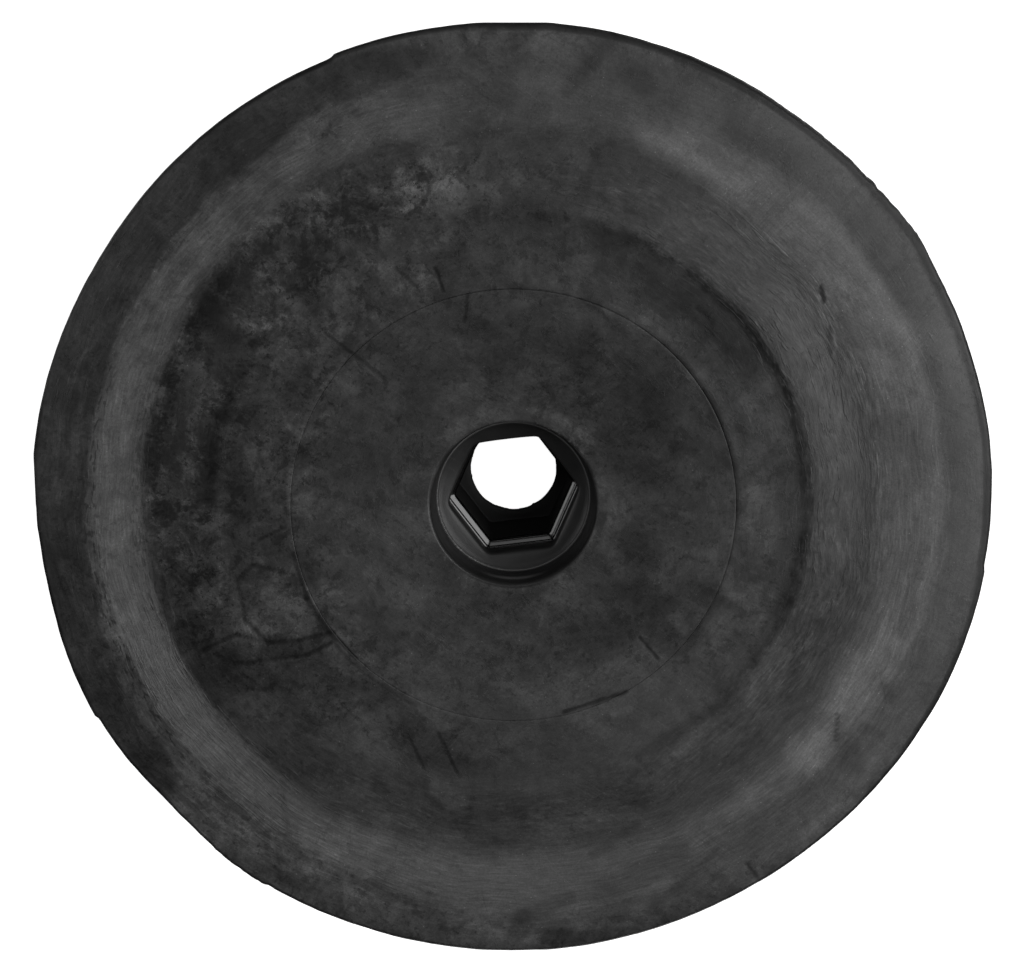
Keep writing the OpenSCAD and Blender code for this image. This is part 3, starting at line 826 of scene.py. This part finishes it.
def rubber(name, worn, base=0.043, rough=0.45):
    """Black rubber with bloom, grime, wipes, scuffs that run round the disc, pits and scratches.

    Where the mesh is painted, its tone, scuff, blotch, pitted and polish values steer them. The
    painted tone also carries painted shade and painted highlights."""
    nodes = Nodes(name)
    tone = nodes.painted("tone" if worn else None, 0.0)
    scuff = nodes.painted("scuff" if worn else None, 0.2)
    blotch = nodes.painted("blotch" if worn else None, 0.4)
    pitted = nodes.painted("pitted" if worn else None, 0.0)
    polish = nodes.painted("polish" if worn else None, 0.0)
    dull = nodes.math("SUBTRACT", 1.0, polish)

    smear = nodes.noise(nodes.place, 55, 5, 0.6, 0.6)
    wipes = nodes.noise(nodes.along(35, 0.030, 0.006), 1, 5, 0.62, 0.4)
    swirl = nodes.noise(nodes.polar(3, 160, 0.012), 1, 4, 0.62)
    cloud = nodes.noise(nodes.place, 230, 7, 0.85, 0.3)
    film = nodes.spread(nodes.noise(nodes.place, 85, 9, 0.72, 0.4), 0.47, 0.55)
    stain = nodes.spread(nodes.noise(nodes.place, 330, 6, 0.72, 0.3), 0.53, 0.60)
    flecks = nodes.spread(nodes.noise(nodes.place, 1100, 4, 0.75), 0.58, 0.64)
    grain = nodes.noise(nodes.place, 3000, 3, 0.85)
    rubbed = nodes.noise(nodes.place, 70, 3, 0.6)
    hairs = nodes.total(
        nodes.times(
            nodes.around_half(nodes.noise(nodes.along(33, 0.009, 0.00028), 1, 2, 0.6), 0.9),
            nodes.spread(rubbed, 0.5, 0.66),
        ),
        nodes.times(
            nodes.around_half(nodes.noise(nodes.along(-52, 0.008, 0.00028), 1, 2, 0.6), 0.9),
            nodes.spread(rubbed, 0.5, 0.36),
        ),
    )
    torn = nodes.spread(nodes.noise(nodes.polar(8, 1100, 0.003), 1, 2, 0.6), 0.60, 0.65)
    broad = nodes.noise(nodes.polar(9, 950, 0.004), 1, 3, 0.65)
    fine = nodes.noise(nodes.polar(20, 2400, 0.004), 1, 2, 0.7)
    pits = nodes.spread(nodes.noise(nodes.polar(45, 2000), 1, 1, 0.5), 0.56, 0.64)
    light_marks = nodes.total(
        nodes.dashes(38, 0.030, 0.00018, 0.70),
        nodes.dashes(-48, 0.024, 0.00018, 0.71),
    )
    dark_marks = nodes.total(
        nodes.dashes(30, 0.026, 0.00025, 0.71),
        nodes.dashes(75, 0.030, 0.00025, 0.71),
    )
    specks = nodes.specks(700, 0.07)

    soiled = nodes.total(
        nodes.around_half(smear, 2.2),
        nodes.around_half(wipes, 2.2),
        nodes.around_half(swirl, 1.8),
    )
    stops = nodes.total(
        tone,
        nodes.times(soiled, nodes.math("ADD", nodes.times(blotch, 0.45), 0.15)),
        nodes.times(nodes.math("MINIMUM", nodes.around_half(cloud, 3.8), 0.35), blotch),
        nodes.times(nodes.around_half(film, 0.45), blotch),
        nodes.times(stain, nodes.times(blotch, -0.55)),
        nodes.times(flecks, nodes.times(blotch, -0.75)),
        nodes.times(hairs, dull),
        nodes.times(nodes.around_half(broad, 1.5), scuff),
        nodes.times(nodes.around_half(fine, 2.6), scuff),
        nodes.times(torn, nodes.times(scuff, 0.3)),
        nodes.times(nodes.around_half(grain, 1.8), dull),
        nodes.times(nodes.times(pits, pitted), -1.1),
        nodes.times(light_marks, 0.22),
        nodes.times(dark_marks, -0.22),
        nodes.times(nodes.times(specks, dull), 1.3),
    )
    light = nodes.math("POWER", 2.0, stops)
    colour = nodes.add("ShaderNodeCombineColor", i0=light, i1=light, i2=light)
    scaled = nodes.add("ShaderNodeVectorMath", i0=colour.outputs[0], i1=(base, base, base))
    scaled.operation = "MULTIPLY"
    nodes.link(scaled.outputs[0], nodes.shader.inputs["Base Color"])
    gloss = nodes.spread(smear, 0.3, 0.7, rough - 0.06, rough + 0.08)
    gloss = nodes.total(gloss, nodes.times(polish, -0.06))
    nodes.link(gloss, nodes.shader.inputs["Roughness"])

    normal = nodes.relief(nodes.times(stain, dull), 0.00003, 0.4)
    normal = nodes.relief(nodes.times(broad, scuff), 0.00008, 0.8, normal)
    normal = nodes.relief(nodes.times(torn, scuff), 0.00004, 0.8, normal)
    normal = nodes.relief(nodes.times(fine, scuff), 0.00005, 0.7, normal)
    marks = nodes.math("SUBTRACT", light_marks, dark_marks)
    normal = nodes.relief(marks, 0.00001, 0.5, normal)
    normal = nodes.relief(nodes.times(grain, dull), 0.000015, 0.5, normal)
    nodes.link(normal, nodes.shader.inputs["Normal"])
    return nodes.material


def hard_plastic(name, level, rough, worn=False):
    """Smooth black moulding with faint flow marks and dust, dull where the mesh says deep."""
    nodes = Nodes(name)
    cloud = nodes.noise(nodes.place, 220, 4, 0.6)
    dust = nodes.noise(nodes.place, 1800, 3, 0.6)
    deep = nodes.painted("deep" if worn else None, 0.0)
    shade = nodes.times(cloud, nodes.spread(dust, 0.35, 0.75))
    colour = nodes.blend(shade, grey(level), grey(level * 2.4))
    nodes.link(colour, nodes.shader.inputs["Base Color"])
    gloss = nodes.spread(dust, 0.3, 0.8, rough, rough + 0.05)
    gloss = nodes.total(gloss, nodes.times(deep, 0.5))
    nodes.link(gloss, nodes.shader.inputs["Roughness"])
    nodes.shader.inputs["IOR"].default_value = 1.75
    normal = nodes.relief(cloud, 0.00003, 0.4)
    nodes.link(nodes.relief(dust, 0.000003, 0.4, normal), nodes.shader.inputs["Normal"])
    return nodes.material


def brushed_steel(name, level, rough):
    """Steel brushed round the neck, with dull spots."""
    nodes = Nodes(name)
    brush = nodes.noise(nodes.polar(9, 4000), 1, 3, 0.6)
    spots = nodes.noise(nodes.place, 260, 4, 0.6)
    spotted = nodes.spread(spots, 0.45, 0.7)
    colour = nodes.blend(spotted, grey(level), grey(level * 0.62, 0.03))
    gloss = nodes.spread(spots, 0.35, 0.75, rough, rough + 0.25)
    nodes.link(colour, nodes.shader.inputs["Base Color"])
    nodes.shader.inputs["Metallic"].default_value = 1.0
    nodes.link(gloss, nodes.shader.inputs["Roughness"])
    nodes.link(nodes.relief(brush, 0.00002, 0.6), nodes.shader.inputs["Normal"])
    return nodes.material


def cover(obj, material):
    """Gives obj one material all over."""
    obj.data.materials.clear()
    obj.data.materials.append(material)


# ---------------------------------------------------------------- assembly


def radial_blend(skin):
    """Bakes the skin's placement into its mesh."""
    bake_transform(skin)


disc = make_disc_skin()
cover(disc, rubber("disc_rubber", worn=True))
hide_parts("flex_web", "sealing_rim")
radial_blend(disc)

RIDERS = [
    (make_pad_skin, rubber("pad_rubber", worn=True), ["face_pad"], "pad_rubber"),
    (
        make_hex_insert, hard_plastic("insert_nylon", 0.002, 0.18, worn=True),
        ["hex_insert"], "insert_nylon",
    ),
    (make_shoulder_skin, rubber("shoulder_rubber", worn=False), ["hub_shoulder"], "neck_rubber"),
    (make_neck_skin, rubber("neck_rubber", worn=False), ["neck_boot"], "neck_rubber"),
    (make_band, brushed_steel("band_steel", 0.5, 0.3), ["neck_ferrule"], "band_steel"),
]
for make, material, nodes, slot in RIDERS:
    piece = make()
    cover(piece, material)
    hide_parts(*nodes)
    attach(piece, "hub")

cover(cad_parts["handle_sleeve"], hard_plastic("sleeve_nylon", 0.03, 0.4))
cover(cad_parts["stiffener_plate"], brushed_steel("plate_steel", 0.55, 0.35))

# ---------------------------------------------------------------- stage, light and camera


def make_floor():
    """A pale glowing table. It gives the part no light, and lets the lights under it through."""
    mesh = bpy.data.meshes.new("floor")
    half = 3.0
    corners = [(-half, -half, 0), (half, -half, 0), (half, half, 0), (-half, half, 0)]
    mesh.from_pydata(corners, [], [(0, 1, 2, 3)])
    floor = bpy.data.objects.new("floor", mesh)
    bpy.context.scene.collection.objects.link(floor)
    nodes = Nodes("floor_white")
    nodes.shader.inputs["Base Color"].default_value = grey(0.8)
    nodes.shader.inputs["Roughness"].default_value = 0.9
    nodes.shader.inputs["Emission Color"].default_value = grey(1.0)
    nodes.shader.inputs["Emission Strength"].default_value = 1.0
    cover(floor, nodes.material)
    floor.visible_diffuse = False
    floor.visible_glossy = False
    floor.visible_shadow = False


def make_light(name, azimuth, elevation, distance, size, power):
    """A square softbox that faces the part. Azimuth 0 is +X, and 90 is +Y."""
    data = bpy.data.lights.new(name, "AREA")
    data.shape, data.size, data.energy = "SQUARE", size, power
    light = bpy.data.objects.new(name, data)
    turn_to, tilt = math.radians(azimuth), math.radians(elevation)
    flat = math.cos(tilt) * distance
    height = math.sin(tilt) * distance
    place = Vector((math.cos(turn_to) * flat, math.sin(turn_to) * flat, height))
    light.location = place + Vector((0, 0, FACE_Z * MM))
    light.rotation_euler = place.to_track_quat("Z", "Y").to_euler()
    light.visible_camera = False
    bpy.context.scene.collection.objects.link(light)


def make_world():
    """White to look at, and a faint even light."""
    world = bpy.data.worlds.new("studio")
    world.use_nodes = True
    world.node_tree.nodes["Background"].inputs["Color"].default_value = grey(1.0)
    looked_at = world.node_tree.nodes.new("ShaderNodeLightPath").outputs["Is Camera Ray"]
    strength = world.node_tree.nodes.new("ShaderNodeMath")
    strength.operation = "MAXIMUM"
    strength.inputs[1].default_value = 0.1
    world.node_tree.links.new(looked_at, strength.inputs[0])
    world.node_tree.links.new(
        strength.outputs[0], world.node_tree.nodes["Background"].inputs["Strength"]
    )
    bpy.context.scene.world = world
    world.cycles_visibility.glossy = False


# The camera's lean in degrees, its distance in disc diameters, its lens in millimetres, and how
# far from the face's centre it aims, in metres.
CAMERA_TILT, CAMERA_DIAMETERS, CAMERA_LENS = 14.5, 2.652, 89.3
AIM_UP, AIM_LEFT = 0.00338, 0.00023


def make_camera():
    """Above the face, leaning a little toward +Y."""
    tilt = math.radians(CAMERA_TILT)
    away = CAMERA_DIAMETERS * 2 * DISC_R * MM
    data = bpy.data.cameras.new("camera")
    data.sensor_width, data.lens = 36, CAMERA_LENS
    camera = bpy.data.objects.new("camera", data)
    centre = Vector((0, 0, FACE_Z * MM))
    view = Vector((0, math.sin(tilt), math.cos(tilt)))
    up = Vector((0, math.cos(tilt), -math.sin(tilt)))
    camera.location = centre + view * away
    aim = centre + up * AIM_UP - Vector((AIM_LEFT, 0, 0))
    back = (camera.location - aim).normalized()
    right = up.cross(back).normalized()
    axes = Matrix((right, back.cross(right), back)).transposed()
    camera.rotation_euler = axes.to_euler()
    bpy.context.scene.collection.objects.link(camera)
    bpy.context.scene.camera = camera


make_floor()
make_world()
make_light("key", 5, 45, 1.0, 0.7, 5.2)
make_light("fill", 172, 38, 1.0, 0.45, 1.3)
make_light("top", 98, 32, 1.0, 0.2, 0.15)
make_light("above", 98, 64, 1.0, 0.35, 0.35)
# Three lights under the glowing table reach only the neck and the back.
for azimuth in (40, 160, 280):
    make_light("under", azimuth, -24, 1.0, 0.6, 3.5)
make_camera()
bpy.context.scene.view_settings.view_transform = "Standard"
